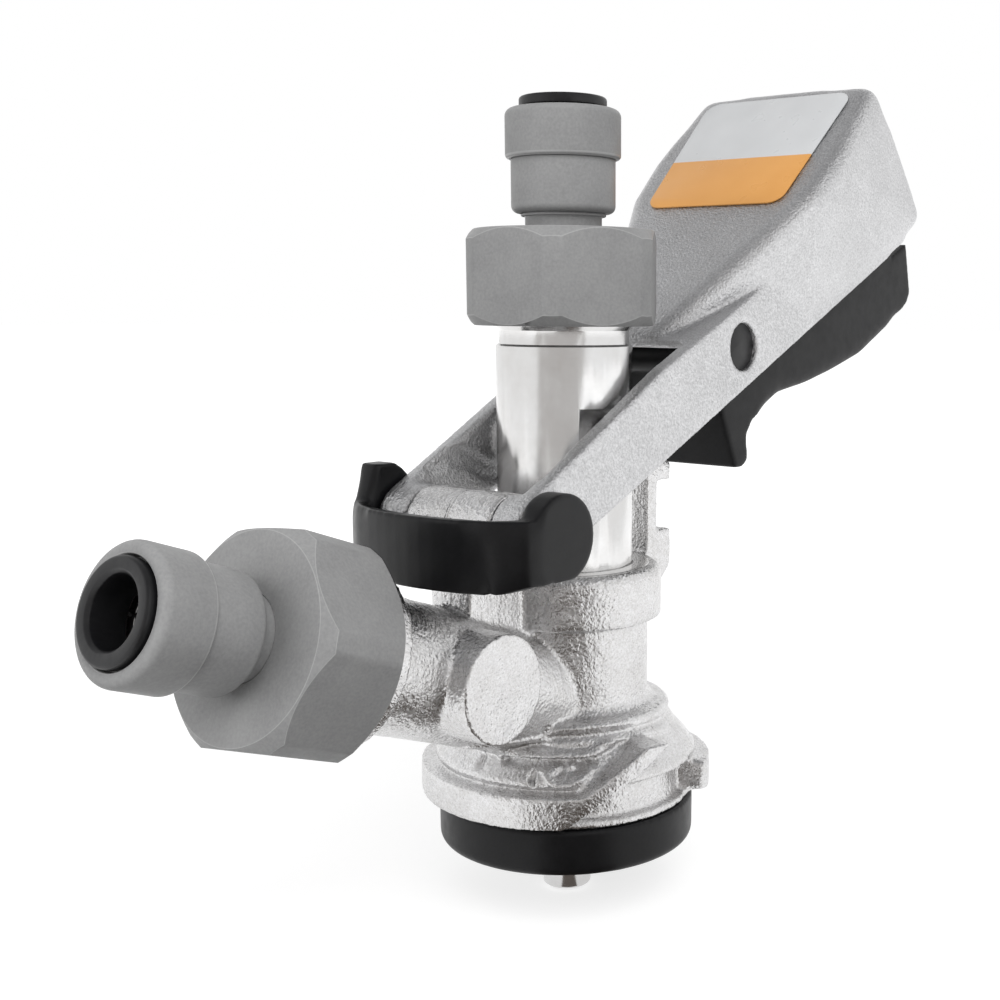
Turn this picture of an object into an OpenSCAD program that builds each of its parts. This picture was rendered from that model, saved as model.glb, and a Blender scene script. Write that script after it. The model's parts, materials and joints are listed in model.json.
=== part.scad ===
// Lever keg coupler with a sliding beer probe, a gas inlet and two push-in tube fittings.
// The origin is the centre of the keg seal's lower face, on the probe's axis.
// The gas inlet points towards -X and up, and the lever stands towards +X.

/* [Keg seal and bayonet] */
// Outside diameter of the keg seal
seal_d = 44; // [42:0.5:46]
// Height of the keg seal below the casting
seal_h = 7.7; // [6:0.1:9]
// Diameter over the bayonet lugs
lug_d = 50; // [47:0.5:54]
// Height of a bayonet lug
lug_h = 5.5; // [4:0.1:7]
// Rise of a lug's ramp from its flat part to its end
lug_rise = 7; // [4:0.5:9]
// Angle that one lug spans round the base
lug_span = 151; // [120:1:155]

/* [Probe] */
// Outside diameter of the probe's guided tube
tube_d = 22.8; // [22:0.1:23.6]
// Height of the step at the foot of the top thread
tube_top_z = 84.9; // [84:0.1:90]
// Diameter of the probe's lower shaft
shaft_d = 13; // [12:0.1:14]
// Bore that the beer flows through
beer_bore_d = 7.2; // [5:0.1:7.6]
// Diameter of the probe tip
tip_d = 8.4; // [8:0.1:9]
// Reach of the probe tip below the keg seal at rest
tip_reach = 9.6; // [6:0.1:12]
// Diameter of the beer check ball
ball_d = 11; // [10.4:0.1:11.6]
// Free travel of the check ball
ball_travel = 2.5; // [1:0.1:3]

/* [Body casting] */
// Diameter of the neck
neck_d = 28.2; // [27.4:0.1:31]
// Diameter of the collar above the neck
collar_d = 32.8; // [31.6:0.1:33.6]
// Height of the collar's machined top face
collar_top_z = 48.2; // [47:0.1:49]
// Height of the collar
collar_h = 9.1; // [8.6:0.1:12]
// Diameter of the gas inlet tube
inlet_d = 20.8; // [19:0.1:22]
// Length of the gas inlet from the probe's axis to the fitting nut
inlet_len = 54.9; // [53:0.1:60]
// Rise of the gas inlet above level
inlet_angle = 19.8; // [16:0.1:22]
// Diameter of the round boss on the inlet's side
boss_d = 17; // [14:0.1:18]

/* [Hinge and lever] */
// Distance of the hinge pin behind the probe's axis
hinge_x = 22.7; // [22:0.1:24]
// Height of the hinge pin above the collar's top face
hinge_rise = 8.6; // [8:0.1:9.8]
// Diameter of the hinge pin
pin_d = 6; // [5:0.1:6.6]
// Diameter of the hinge barrel
barrel_d = 12; // [11:0.1:12.4]
// Gap between the lever's two arms
arm_gap = 24; // [23.6:0.1:24.4]
// Thickness of one arm
arm_t = 3; // [2.6:0.1:3.4]
// Depth of the arms where they carry the hood
arm_h = 14.4; // [13.4:0.1:15]
// Rise of the arms above level at rest
arm_angle = 24.7; // [24:0.1:26]
// Diameter of the lugs that drive the probe
cam_d = 10; // [9:0.1:10.2]
// Length of the hood from its nose to its back
hood_len = 85; // [82:0.5:87]
// Height of the hood's back above the arms' lower edge
hood_h = 37.3; // [35:0.1:39]
// Width of the hood
hood_w = 44.2; // [42:0.1:46]
// Wall of the hood
hood_wall = 2.6; // [2.2:0.1:3]
// Diameter of the trigger's pivot hole in the arms
trigger_hole_d = 8.5; // [7.5:0.1:9]

/* [Tube fittings] */
// Width across the flats of the fitting nuts
nut_af = 30; // [29:0.1:31]
// Length of the fitting nuts
nut_len = 15.5; // [15:0.1:17]
// Outside diameter of the tube that is pushed in
push_tube_d = 9.5; // [9:0.1:9.6]
// Diameter of the fitting's cap
cap_d = 18.9; // [18.6:0.1:20]
// Length of the fitting's cap
cap_len = 7.9; // [7.8:0.1:9]
// Diameter of the fitting's socket ring
socket_d = 17.1; // [16.9:0.1:17.6]
// Length of the fitting's socket ring
socket_len = 8.6; // [8.4:0.1:9.6]
// Diameter of the neck between nut and socket ring
tail_d = 12.6; // [12:0.1:13]
// Travel of the beer fitting's collet
beer_collet_travel = 1.5; // [0.8:0.1:1.5]
// Travel of the gas fitting's collet
gas_collet_travel = 0.7; // [0.4:0.1:1.5]

/* [Clip] */
// Thickness of the clip's band
clip_t = 2; // [1.6:0.1:2.4]
// Reach of the clip's band in front of the hinge pin
clip_reach = 13.8; // [13.4:0.1:15]
// Thickness of the clip's ears
ear_t = 4.1; // [3.4:0.1:4.6]
// Diameter of the clip's ears
ear_d = 13.7; // [13:0.1:14.4]

/* [Hidden] */

// Overrun of every cut
cut = 1;
// Facets of turned surfaces, and of the balls that round a hull
fine = 64;
ball_fine = 12;
// Clearances: turning or sliding fit, play of a nut, and gap between faces that pass
run_gap = 0.06;
nut_gap = 0.1;
face_gap = 0.3;
// Angles
square = 90;
turn = 360;
hex_turn = 60;
arc_steps = 6;

// Base of the body
seal_r = seal_d / 2;
seal_edge = 1.5;
seal_ledge = 5;
seal_neck_r = seal_r - seal_ledge;
seal_neck_h = 4.8;
seal_hole_gap = 2.2;
seal_hole_r = shaft_d / 2 + seal_hole_gap;
lug_r = lug_d / 2;
base_h = 1.2;
base_over = 0.25;
lug_z = seal_h + base_h;
lug_top_z = lug_z + lug_h;
hub_in = 2.2;
hub_r = seal_r - hub_in;
base_in = 0.5;
base_r = seal_r - base_in;
neck_r = neck_d / 2;
collar_r = collar_d / 2;
collar_z = collar_top_z - collar_h;
collar_edge = 1.8;
collar_face_r = collar_r - collar_edge;
tube_r = tube_d / 2;
guide_r = tube_r + run_gap;
skirt_h = 10.2;
skirt_w = hub_r - neck_r;
// Skirt outline: shares of the width from neck to hub, and of the height above the lugs
skirt_shares = [[1, 0], [1.5, 0.08], [1.45, 0.18], [1.2, 0.35], [1.05, 0.45], [0.8, 0.6],
    [0.72, 0.7], [0.55, 0.76], [0.66, 0.84], [0.66, 0.92], [0.55, 0.98], [0.2, 1], [0, 1.12]];
lug_start = 112;
ramp_slope = 33;
ramp_middle_share = 0.85;
ramp_low = 6;
ramp_t = 3.4;
lug_root = 4;
notch_turns = [205, 221];
notch_w = 0.9;
notch_h = 2.6;
notch_out = 2.8;
skirt_notch_r = hub_r + notch_out;
collar_foot = 0.4;

// Gas inlet
inlet_r = inlet_d / 2;
axis_drop = 15.8;
axis_z = collar_z - axis_drop;
gas_bore_r = 5;
shoulder_out = 3.4;
shoulder_r = inlet_r + shoulder_out;
shoulder_t = 2.5;
boss_r = boss_d / 2;
boss_at = 32.6;
boss_y = 14;
thread_r = tube_r;
thread_len = 7.5;
thread_lead = 0.75;
thread_pitch = 1.8;
thread_depth = 0.6;
crest_shares = [0.4, 0.6];
valve_r = 7;
valve_depth = 11;
gas_nut_at = inlet_len + face_gap;
valve_lip_t = 1.4;
valve_lip_step = 1;
valve_wall = 1.3;
valve_slit = 0.6;

// Guide rings in the collar
ring_wire = 1.3;
ring_spot_shares = [0.3, 0.68];
ring_play = 0.05;
groove_depth = 2 * ring_wire + ring_play;

// Probe
step_in = 0.6;
step_r = tube_r - step_in;
relief_len = 3;
tube_low_z = 39;
tube_edge = 0.3;
shaft_r = shaft_d / 2;
shaft_low_z = -1;
probe_washer_t = 2.4;
probe_washer_out = 1;
probe_washer_r = shaft_r + probe_washer_out;
tip_r = tip_d / 2;
tip_wall = 1.1;
tip_edge = 0.6;
tip_seat_len = 5;
bore_r = beer_bore_d / 2;
ball_r = ball_d / 2;
ball_room_gap = 1;
ball_room_r = ball_r + ball_room_gap;
seat_gap = 0.05;
beer_nut_z = tube_top_z + relief_len;
probe_top_z = beer_nut_z + thread_len;
retainer_t = 2.2;
retainer_wall = 1.6;
retainer_bar = 2;
ball_z = probe_top_z - retainer_t - face_gap - ball_travel - ball_r;
seat_tip_z = ball_z - (ball_r + seat_gap) * sqrt(2);

// Hinge, arms and the lugs that drive the probe
hinge_z = collar_top_z + hinge_rise;
pin_r = pin_d / 2;
barrel_r = barrel_d / 2;
knuckle_w = 18;
web_w = 8.6;
web_back = 5;
web_x = hinge_x + web_back;
arm_in = arm_gap / 2;
arm_out = arm_in + arm_t;
arm_low = 5.3;
arm_high = arm_h - arm_low;
arm_end_out = 0.2;
arm_end_r = barrel_r + arm_end_out;
arm_full_at = 38;
arm_root_at = 127;
arm_root_up_at = 100;
cam_r = cam_d / 2;
cam_up = 1;
cam_at = (hinge_x + cam_up * sin(arm_angle)) / cos(arm_angle);
cam_in = 9.3;
cam_z = hinge_z + cam_at * sin(arm_angle) + cam_up * cos(arm_angle);
slot_y = cam_in - face_gap;
slot_low = 0.4;
slot_high = 1.4;

// Hood, in the arms' own direction: places along the arms and above their middle
nose_at = 47.8;
nose_over = 0.6;
nose_up = arm_high + nose_over;
hood_round = 3;
hood_back_share = 0.8;
top_slope = atan((hood_h - arm_low - nose_up) / (hood_back_share * hood_len));
// Upper outline of the hood: shares of its length and of half its width
hood_top_shares = [[0.035, 0.34], [0.355, 0.83], [0.455, 0.97], [0.57, 1], [0.66, 0.96],
    [0.783, 0.93]];
// Lower outline: the same, and the share of its height
hood_low_shares = [[0.035, 0.31, 0.3], [0.42, 0.66, 0.3], [0.42, 0.68, 0.08], [0.932, 0.68, 0.08],
    [0.962, 0.76, 0.13], [0.985, 0.4, 0.13]];
mouth_drop = 9;
deck_t = 1.5;
deck_end_at = 88;
sweep_r = 48.9;
tail_notch = 0.6;
tail_share = 0.9;
tail_at = nose_at + tail_share * hood_len;
deck_edge = 0.1;
label_t = 0.35;
label_at = 35.5;
label_len = 32.5;
label_w = 35.6;
label_round = 3;
// Corners of the label: shares of its length and of half its width, the steps in from there to the
// centre of the corner's round, and the angle at which that starts
label_corners = [[0, -0.86, -label_round, -label_round, 2 * square],
    [1, -0.93, label_round, -label_round, 3 * square],
    [1, 0.93, label_round, label_round, 0], [0, 0.86, -label_round, label_round, square]];

// Trigger, in the arms' own direction
pivot_at = 61.2;
pivot_up = 1.9;
hole_r = trigger_hole_d / 2;
pin_recess = 1;
trigger_y = arm_in - face_gap;
trigger_front = 54.4;
trigger_wall = 2;
trigger_floor = 2.4;
trigger_depth = 20.5;
trigger_len = 78;
// Belly of the trigger: shares of its length and of its depth below the arms' middle
belly_shares = [[0, 0.95], [0.03, 1], [0.055, 0.98], [0.075, 0.76], [0.11, 0.69], [0.25, 0.69],
    [0.38, 0.84], [0.51, 0.95], [0.66, 1.05], [0.83, 1.05], [0.95, 0.97], [0.975, 0.9], [1, 0.39]];
tail_step = 7.6;
trigger_up = 1.5;
pocket_start_share = 0.17;
pocket_end_share = 0.9;
boss_wall = 1.1;
pawl_at = 52.8;
pawl_up = 3.9;
pawl_r = 3;
pawl_w = 17;
spring_at = 92;
spring_r = 4;
spring_wire = 0.5;
spring_curls = 8;
spring_rings = 8;
spring_sides = 6;
spring_post_len = 2.4;
spring_seat_out = 1;
spring_seat_r = spring_r + spring_seat_out;
spring_post_r = spring_r - spring_wire - face_gap;
spring_x = -hinge_x + spring_at * cos(arm_angle);
spring_drop = 3;
spring_len = 20;
spring_low_z = hinge_z + spring_at * sin(arm_angle) - spring_drop;
spring_top_z = spring_low_z + spring_len;
spring_seat_len = 14;

// Rail behind the tube
rail_w = 10;
rail_gap = 5.4;
rail_x = tube_r + rail_gap;
rail_t = 2.95;
rail_up = 15.8;
rail_top_z = collar_top_z + rail_up;
rail_tooth = 3.9;
rail_tooth_h = 3.6;
rail_lobe_h = 3.3;
rail_lobe = 4.2;
rail_edge = 0.8;

// Fitting, in its own direction from the nut's open end
narrow_facet = 10.4;
corner_r = nut_af / 2 / cos((hex_turn - narrow_facet) / 2);
nut_wall = 4.2;
beer_nut_turn = 4.1;
gas_nut_turn = 6.9;
tail_r = tail_d / 2;
flange_r = 10;
flange_t = 2;
washer_t = 1.5;
neck_len = 2.6;
neck_ring_t = 0.5;
neck_ring_out = 0.7;
socket_r = socket_d / 2;
socket_z = nut_len + neck_len;
socket_top_z = socket_z + socket_len;
socket_edge = 1.2;
tail_seat_len = 3.3;
stop_t = 1.4;
spigot_in = 0.6;
spigot_r = socket_r - spigot_in;
spigot_len = 1.8;
cap_r = cap_d / 2;
cap_top_z = socket_top_z + cap_len;
cap_edge = 1.2;
push_gap = 0.1;
push_r = push_tube_d / 2 + push_gap;
oring_wire = 0.95;
oring_gap = 0.05;
oring_room_r = push_r + 2 * oring_wire;
oring_room_len = 2 * (2 * oring_wire + oring_gap);
grab_t = 0.3;
grab_teeth = 12;
grab_slit = 0.5;
collet_wall = 1.2;
collet_barb = 0.6;
barb_len = 0.9;
collet_r = push_r + collet_wall;
collet_face_out = 1.1;
collet_face_r = collet_r + collet_face_out;
collet_face_t = 1.6;
collet_edge = 0.5;
mouth_depth = 2.2;
lip_t = 0.7;
room_r = collet_r + collet_barb + face_gap;
grab_z = socket_top_z + spigot_len;
collet_stop_z = grab_z + grab_t + face_gap;
collet_proud = 0.35;
mouth_r = collet_face_r + face_gap;
washer_in = 0.7;
washer_r = thread_r - washer_in;
washer_hole_r = ball_room_r;
nut_end_in = 0.2;
nut_end_r = nut_af / 2 - nut_end_in;
cap_foot = 0.4;

// Clip
ear_r = ear_d / 2;
ear_in = arm_out + face_gap;
ear_out = ear_in + ear_t;
clip_low = 7.6;
leg_low = 6.4;
clip_high = 3.4;
clip_bow = 2.5;
clip_corner = 7.5;
clip_foot = 3;
bow_steps = 6;
pin_cover = 1;
tab_h = 9.2;
tab_w = 6;
// Finger tab on the far ear: shares of its width and height from the hinge pin
tab_shares = [[-1.25, 0.37], [-1.18, 0.56], [-1.08, 0.7], [-1.02, 0.9], [-0.95, 1], [-0.25, 1],
    [0, 0.9], [0.5, 0.6], [0.8, 0.4], [0, 0]];

// Where a thing stands: in the arms' direction, along the inlet, on the gas and beer nuts
module in_arms() {
    translate([-hinge_x, 0, hinge_z]) rotate([0, -arm_angle, 0]) children();
}
module along_inlet() {
    translate([0, 0, axis_z]) rotate([0, inlet_angle - square, 0]) children();
}
module at_gas_nut() {
    along_inlet() translate([0, 0, gas_nut_at]) children();
}
module at_beer_nut() {
    translate([0, 0, beer_nut_z]) children();
}
module both_sides() {
    children();
    mirror([0, 1, 0]) children();
}

// A turned solid from its outline of radius and height
module lathe(outline) {
    rotate_extrude($fn = fine) polygon(outline);
}
// A shape cut along Y, centred, from an outline of X and Z
module plate_y(width) {
    rotate([square, 0, 0]) linear_extrude(width, center = true) children();
}
// A round bar or hole along Y, centred
module bar_y(radius, width) {
    rotate([square, 0, 0]) cylinder(r = radius, h = width, center = true, $fn = fine);
}
module ring(outer, inner, low, high) {
    lathe([[inner, low], [outer, low], [outer, high], [inner, high]]);
}
module torus(middle, wire) {
    rotate_extrude($fn = fine) translate([middle, 0]) circle(r = wire, $fn = fine / 2);
}
// Points of a quarter round between two directions
function rounding(x, z, radius, from, to) =
    [for (i = [0:arc_steps]) let (a = from + (to - from) * i / arc_steps)
        [x + radius * cos(a), z + radius * sin(a)]];
// Outline points of ridges that stand for a thread, from low to high
function ridges(low, high) =
    let (count = floor((high - low) / thread_pitch), pitch = (high - low) / count)
    [for (i = [0:count - 1]) each [
        [thread_r - thread_depth, low + i * pitch],
        [thread_r, low + (i + crest_shares[0]) * pitch],
        [thread_r, low + (i + crest_shares[1]) * pitch]],
        [thread_r - thread_depth, high]];

// Keg seal, its neck held in the casting's pocket
module keg_seal() {
    color([0.06, 0.06, 0.065]) lathe(concat(
        [[seal_hole_r, 0]],
        rounding(seal_r - seal_edge, seal_edge, seal_edge, -square, 0),
        [[seal_r, seal_h], [seal_neck_r, seal_h], [seal_neck_r, seal_h + seal_neck_h],
            [seal_hole_r, seal_h + seal_neck_h]]));
}

// Body casting
module lug_sector(from, to, low, high) {
    rotate([0, 0, lug_start + from * lug_span])
        rotate_extrude(angle = (to - from) * lug_span, $fn = fine)
            polygon([[hub_r - lug_root, low], [lug_r, low], [lug_r, high], [hub_r - lug_root, high]]);
}
module ramp_side(height, side) {
    rotate([0, 0, lug_start + ramp_middle_share * lug_span]) translate([0, 0, height])
        rotate([ramp_slope, 0, 0]) translate([0, 0, side * lug_d]) cube(2 * lug_d, center = true);
}
module lug() {
    difference() {
        lug_sector(0, 1, lug_z, lug_top_z + lug_rise);
        ramp_side(lug_z + ramp_low, -1);
        intersection() {
            ramp_side(lug_z + ramp_low + ramp_t, 1);
            translate([-lug_d, -lug_d, lug_top_z]) cube([2 * lug_d, 2 * lug_d, lug_d]);
        }
    }
}
module body_turned() {
    lathe(concat(
        [[0, seal_h], [base_r, seal_h], [base_r, lug_z + base_over], [hub_r, lug_z + base_over],
            [hub_r, lug_top_z]],
        [for (s = skirt_shares) [neck_r + s[0] * skirt_w, lug_top_z + s[1] * skirt_h]],
        [[neck_r, collar_z], [collar_r - collar_foot, collar_z], [collar_r, collar_z + collar_foot]],
        rounding(collar_face_r, collar_top_z - collar_edge, collar_edge, 0, square),
        [[0, collar_top_z]]));
}
module inlet() {
    along_inlet() {
        cylinder(r = inlet_r, h = inlet_len - shoulder_t / 2, $fn = fine);
        translate([0, 0, inlet_len - shoulder_t]) cylinder(r = shoulder_r, h = shoulder_t, $fn = fine);
        lathe(concat([[0, inlet_len - shoulder_t]], [[thread_r - thread_depth, inlet_len - shoulder_t]],
            ridges(inlet_len, gas_nut_at + thread_len), [[0, gas_nut_at + thread_len]]));
        translate([0, -boss_y / 2, boss_at]) bar_y(boss_r, boss_y);
    }
}
module hinge_bracket() {
    translate([-hinge_x, 0, hinge_z]) bar_y(barrel_r, knuckle_w - face_gap);
    plate_y(web_w) polygon([
        [-web_x, axis_z + web_x * tan(inlet_angle)], [-web_x, hinge_z], [-hinge_x + barrel_r, hinge_z],
        [-collar_face_r, collar_top_z - collar_foot], [-collar_face_r + collar_foot, collar_z],
        [-neck_r + collar_foot, axis_z + neck_r * tan(inlet_angle)]]);
}
module rail() {
    back = rail_x + rail_t;
    plate_y(rail_w) polygon([
        [collar_face_r, collar_z], [collar_r, collar_z], [collar_r + rail_t, collar_z + rail_t / 2],
        [back + rail_lobe - rail_edge, collar_top_z - rail_lobe], [back + rail_lobe, collar_top_z - rail_t],
        [back + rail_lobe, collar_top_z + rail_lobe_h], [back, collar_top_z + rail_lobe_h],
        [back, rail_top_z - rail_tooth_h], [back + rail_tooth, rail_top_z - rail_tooth_h],
        [back + rail_tooth, rail_top_z - rail_edge], [back + rail_tooth - rail_edge, rail_top_z],
        [rail_x, rail_top_z], [rail_x, collar_top_z - rail_edge], [collar_face_r, collar_top_z - rail_edge]]);
}
module coupler_body() {
    color([0.78, 0.78, 0.79]) difference() {
        union() {
            body_turned();
            for (side = [0, 1]) rotate([0, 0, side * turn / 2]) lug();
            inlet();
            hinge_bracket();
            rail();
        }
        translate([0, 0, seal_h - cut])
            cylinder(r = seal_neck_r, h = seal_neck_h + cut, $fn = fine);
        translate([0, 0, seal_h]) cylinder(r = guide_r, h = collar_top_z, $fn = fine);
        for (spot = ring_spot_shares) translate([0, 0, collar_z + spot * collar_h])
            ring(guide_r + groove_depth, tube_r, -ring_wire - ring_play, ring_wire + ring_play);
        along_inlet() {
            translate([0, 0, tube_r / 2]) cylinder(r = gas_bore_r, h = inlet_len, $fn = fine);
            translate([0, 0, gas_nut_at + thread_len - valve_depth])
                cylinder(r = valve_r, h = valve_depth + cut, $fn = fine);
        }
        translate([-hinge_x, 0, hinge_z]) bar_y(pin_r, knuckle_w + cut);
        for (place = notch_turns) rotate([0, 0, place]) translate([skirt_notch_r, 0, lug_top_z + notch_h])
            cube([notch_h, notch_w, notch_h], center = true);
    }
}
module guide_orings() {
    color([0.08, 0.08, 0.08]) for (spot = ring_spot_shares)
        translate([0, 0, collar_z + spot * collar_h]) torus(tube_r + run_gap / 2 + ring_wire, ring_wire);
}

// Duckbill valve in the mouth of the gas inlet
module gas_check_valve() {
    top = thread_len;
    low = top - valve_depth + face_gap;
    middle = top - valve_depth / 2;
    color([0.1, 0.1, 0.1]) at_gas_nut() {
        ring(valve_r, valve_r - valve_lip_step - valve_wall, top - valve_lip_t, top);
        ring(valve_r - valve_lip_step, valve_r - valve_lip_step - valve_wall, middle, top);
        difference() {
            hull() {
                translate([0, 0, middle])
                    cylinder(r = valve_r - valve_lip_step, h = valve_slit, $fn = fine / 2);
                translate([0, 0, low])
                    cube([2 * valve_wall + valve_slit, 2 * gas_bore_r, valve_slit], center = true);
            }
            hull() {
                translate([0, 0, middle])
                    cylinder(r = valve_r - valve_lip_step - valve_wall, h = cut, $fn = fine / 2);
                translate([0, 0, low]) cube([valve_slit, 2 * (gas_bore_r - valve_wall), cut], center = true);
            }
        }
    }
}

// Pin of the hinge, and the clip that keeps it in
module hinge_pin() {
    color([0.7, 0.7, 0.72]) translate([-hinge_x, 0, hinge_z]) bar_y(pin_r, 2 * (ear_out - pin_cover));
}
function bow(y) = -hinge_x - clip_reach + clip_bow * pow(y / (ear_in - clip_t / 2), 2);
module hinge_clip() {
    edge = ear_in - clip_t / 2;
    color([0.07, 0.07, 0.075]) {
        difference() {
            union() {
                both_sides() translate([-hinge_x, (ear_in + ear_out) / 2, hinge_z]) bar_y(ear_r, ear_t);
                translate([0, 0, hinge_z - clip_low]) linear_extrude(clip_low + clip_high) polygon(concat(
                    [for (i = [-bow_steps:bow_steps]) [bow(edge * i / bow_steps), edge * i / bow_steps]],
                    [for (i = [-bow_steps:bow_steps]) let (y = -edge * i / bow_steps)
                        [bow(y) + clip_t, y]]));
                both_sides() translate([0, 0, hinge_z - leg_low]) linear_extrude(leg_low + clip_high)
                    polygon([[bow(edge), edge], [-hinge_x - clip_corner, ear_out],
                        [-hinge_x - clip_foot, ear_out], [-hinge_x - clip_foot, ear_in],
                        [-hinge_x - clip_corner + clip_t / 2, ear_in],
                        [bow(edge) + clip_t, edge - clip_t / 2],
                        [bow(edge) + clip_t / 2, edge - clip_t / 2]]);
                translate([-hinge_x, (ear_in + ear_out) / 2, hinge_z]) plate_y(ear_t) polygon(
                    [for (s = tab_shares) [s[0] * tab_w, s[1] * tab_h]]);
            }
            translate([-hinge_x, 0, hinge_z]) bar_y(pin_r, 2 * (ear_out - pin_cover));
        }
    }
}

// Push-in tube fitting, each piece in its own direction
module fitting_washer() {
    color([0.16, 0.16, 0.16]) ring(washer_r, washer_hole_r, thread_len, thread_len + washer_t);
}
module fitting_tail() {
    color([0.6, 0.6, 0.61]) lathe([
        [bore_r, thread_len + washer_t], [flange_r, thread_len + washer_t],
        [flange_r, thread_len + washer_t + flange_t], [tail_r, thread_len + washer_t + flange_t],
        [tail_r, socket_z - neck_ring_t], [tail_r + neck_ring_out, socket_z - neck_ring_t],
        [tail_r + neck_ring_out, socket_z], [tail_r, socket_z], [tail_r, socket_z + tail_seat_len],
        [bore_r, socket_z + tail_seat_len]]);
}
module fitting_socket() {
    seat = socket_z + tail_seat_len;
    color([0.58, 0.58, 0.59]) lathe(concat(
        [[tail_r, seat], [tail_r, socket_z]],
        rounding(socket_r - socket_edge, socket_z + socket_edge, socket_edge, -square, 0),
        [[socket_r, socket_top_z], [spigot_r, socket_top_z], [spigot_r, grab_z], [oring_room_r, grab_z],
            [oring_room_r, grab_z - oring_room_len], [push_r, grab_z - oring_room_len],
            [push_r, seat + stop_t], [bore_r, seat + stop_t], [bore_r, seat]]));
}
module fitting_orings() {
    color([0.08, 0.08, 0.08]) for (side = [1, 3])
        translate([0, 0, grab_z - side * oring_room_len / 4]) torus(push_r + oring_wire, oring_wire);
}
module fitting_grab_ring() {
    color([0.75, 0.75, 0.77]) difference() {
        translate([0, 0, grab_z]) cylinder(r = spigot_r, h = grab_t, $fn = fine);
        translate([0, 0, grab_z - cut]) cylinder(r = push_r, h = grab_t + 2 * cut, $fn = fine);
        for (i = [1:grab_teeth]) rotate([0, 0, i * turn / grab_teeth])
            translate([0, -grab_slit / 2, grab_z - cut])
                cube([oring_room_r, grab_slit, grab_t + 2 * cut]);
    }
}
module fitting_cap() {
    lip_z = cap_top_z - mouth_depth - lip_t;
    color([0.6, 0.6, 0.61]) lathe(concat(
        [[spigot_r, grab_z + grab_t], [spigot_r, socket_top_z], [cap_r - cap_foot, socket_top_z],
            [cap_r, socket_top_z + cap_foot]],
        rounding(cap_r - cap_edge, cap_top_z - cap_edge, cap_edge, 0, square),
        [[mouth_r, cap_top_z], [mouth_r, cap_top_z - mouth_depth],
            [collet_r + nut_gap, cap_top_z - mouth_depth], [collet_r + nut_gap, lip_z],
            [room_r, lip_z], [room_r, grab_z + grab_t]]));
}
module fitting_collet(travel) {
    top = cap_top_z + collet_proud;
    color([0.08, 0.08, 0.085]) translate([0, 0, travel]) lathe(concat(
        [[push_r, collet_stop_z], [collet_r, collet_stop_z],
            [collet_r + collet_barb, collet_stop_z + barb_len],
            [collet_r, collet_stop_z + barb_len], [collet_r, top - collet_face_t]],
        [[collet_face_r, top - collet_face_t]],
        rounding(collet_face_r - collet_edge, top - collet_edge, collet_edge, 0, square),
        [[push_r + collet_edge, top], [push_r, top - collet_edge]]));
}
module fitting_nut(turned) {
    out = corner_r + cut;
    rise = out - nut_end_r;
    color([0.57, 0.57, 0.58]) difference() {
        intersection() {
            linear_extrude(nut_len) polygon([for (i = [0:5]) each
                [for (side = [-1, 1]) let (a = turned + i * hex_turn + side * (hex_turn - narrow_facet) / 2)
                    [corner_r * cos(a), corner_r * sin(a)]]]);
            lathe([[0, 0], [nut_end_r, 0], [out, rise], [out, nut_len - rise], [nut_end_r, nut_len],
                [0, nut_len]]);
        }
        translate([0, 0, -cut]) cylinder(r = thread_r + run_gap, h = nut_len - nut_wall + cut, $fn = fine);
        cylinder(r = tail_r + nut_gap, h = nut_len + cut, $fn = fine);
    }
}
module gas_nut_washer() at_gas_nut() fitting_washer();
module gas_fitting_tail() at_gas_nut() fitting_tail();
module gas_fitting_socket() at_gas_nut() fitting_socket();
module gas_tube_orings() at_gas_nut() fitting_orings();
module gas_grab_ring() at_gas_nut() fitting_grab_ring();
module gas_fitting_cap() at_gas_nut() fitting_cap();
module gas_collet() at_gas_nut() fitting_collet(gas_collet_travel);
module gas_nut() at_gas_nut() fitting_nut(gas_nut_turn);
module beer_nut_washer() at_beer_nut() fitting_washer();
module beer_fitting_tail() at_beer_nut() fitting_tail();
module beer_fitting_socket() at_beer_nut() fitting_socket();
module beer_tube_orings() at_beer_nut() fitting_orings();
module beer_grab_ring() at_beer_nut() fitting_grab_ring();
module beer_fitting_cap() at_beer_nut() fitting_cap();
module beer_collet() at_beer_nut() fitting_collet(beer_collet_travel);
module beer_nut() at_beer_nut() fitting_nut(beer_nut_turn);

// Probe: the sliding tube, its tip, seal, check ball and the ball's retainer
module probe_tube() {
    seat_z = shaft_low_z + tip_seat_len;
    color([0.8, 0.8, 0.81]) difference() {
        lathe(concat(
            [[tip_r, seat_z], [tip_r, shaft_low_z], [shaft_r, shaft_low_z], [shaft_r, tube_low_z],
                [tube_r - tube_edge, tube_low_z], [tube_r, tube_low_z + tube_edge],
                [tube_r, tube_top_z - tube_edge], [tube_r - tube_edge, tube_top_z], [step_r, tube_top_z],
                [step_r, beer_nut_z - thread_lead]],
            ridges(beer_nut_z - thread_lead, probe_top_z),
            [[ball_room_r, probe_top_z], [ball_room_r, seat_tip_z + ball_room_r],
                [bore_r, seat_tip_z + bore_r], [bore_r, seat_z]]));
        both_sides() translate([-tube_r, slot_y, cam_z - cam_r - slot_low])
            cube([tube_d, tube_r, 2 * cam_r + slot_low + slot_high]);
    }
}
module probe_tip() {
    color([0.82, 0.82, 0.83]) lathe(concat(
        [[tip_r - tip_wall, -tip_reach]],
        rounding(tip_r - tip_edge, tip_edge - tip_reach, tip_edge, -square, 0),
        [[tip_r, shaft_low_z + tip_seat_len], [tip_r - tip_wall, shaft_low_z + tip_seat_len]]));
}
module probe_seal() {
    color([0.12, 0.12, 0.12]) ring(probe_washer_r, tip_r, shaft_low_z - probe_washer_t, shaft_low_z);
}
module check_ball() {
    color([0.9, 0.9, 0.9]) translate([0, 0, ball_z]) sphere(r = ball_r, $fn = fine);
}
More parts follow.
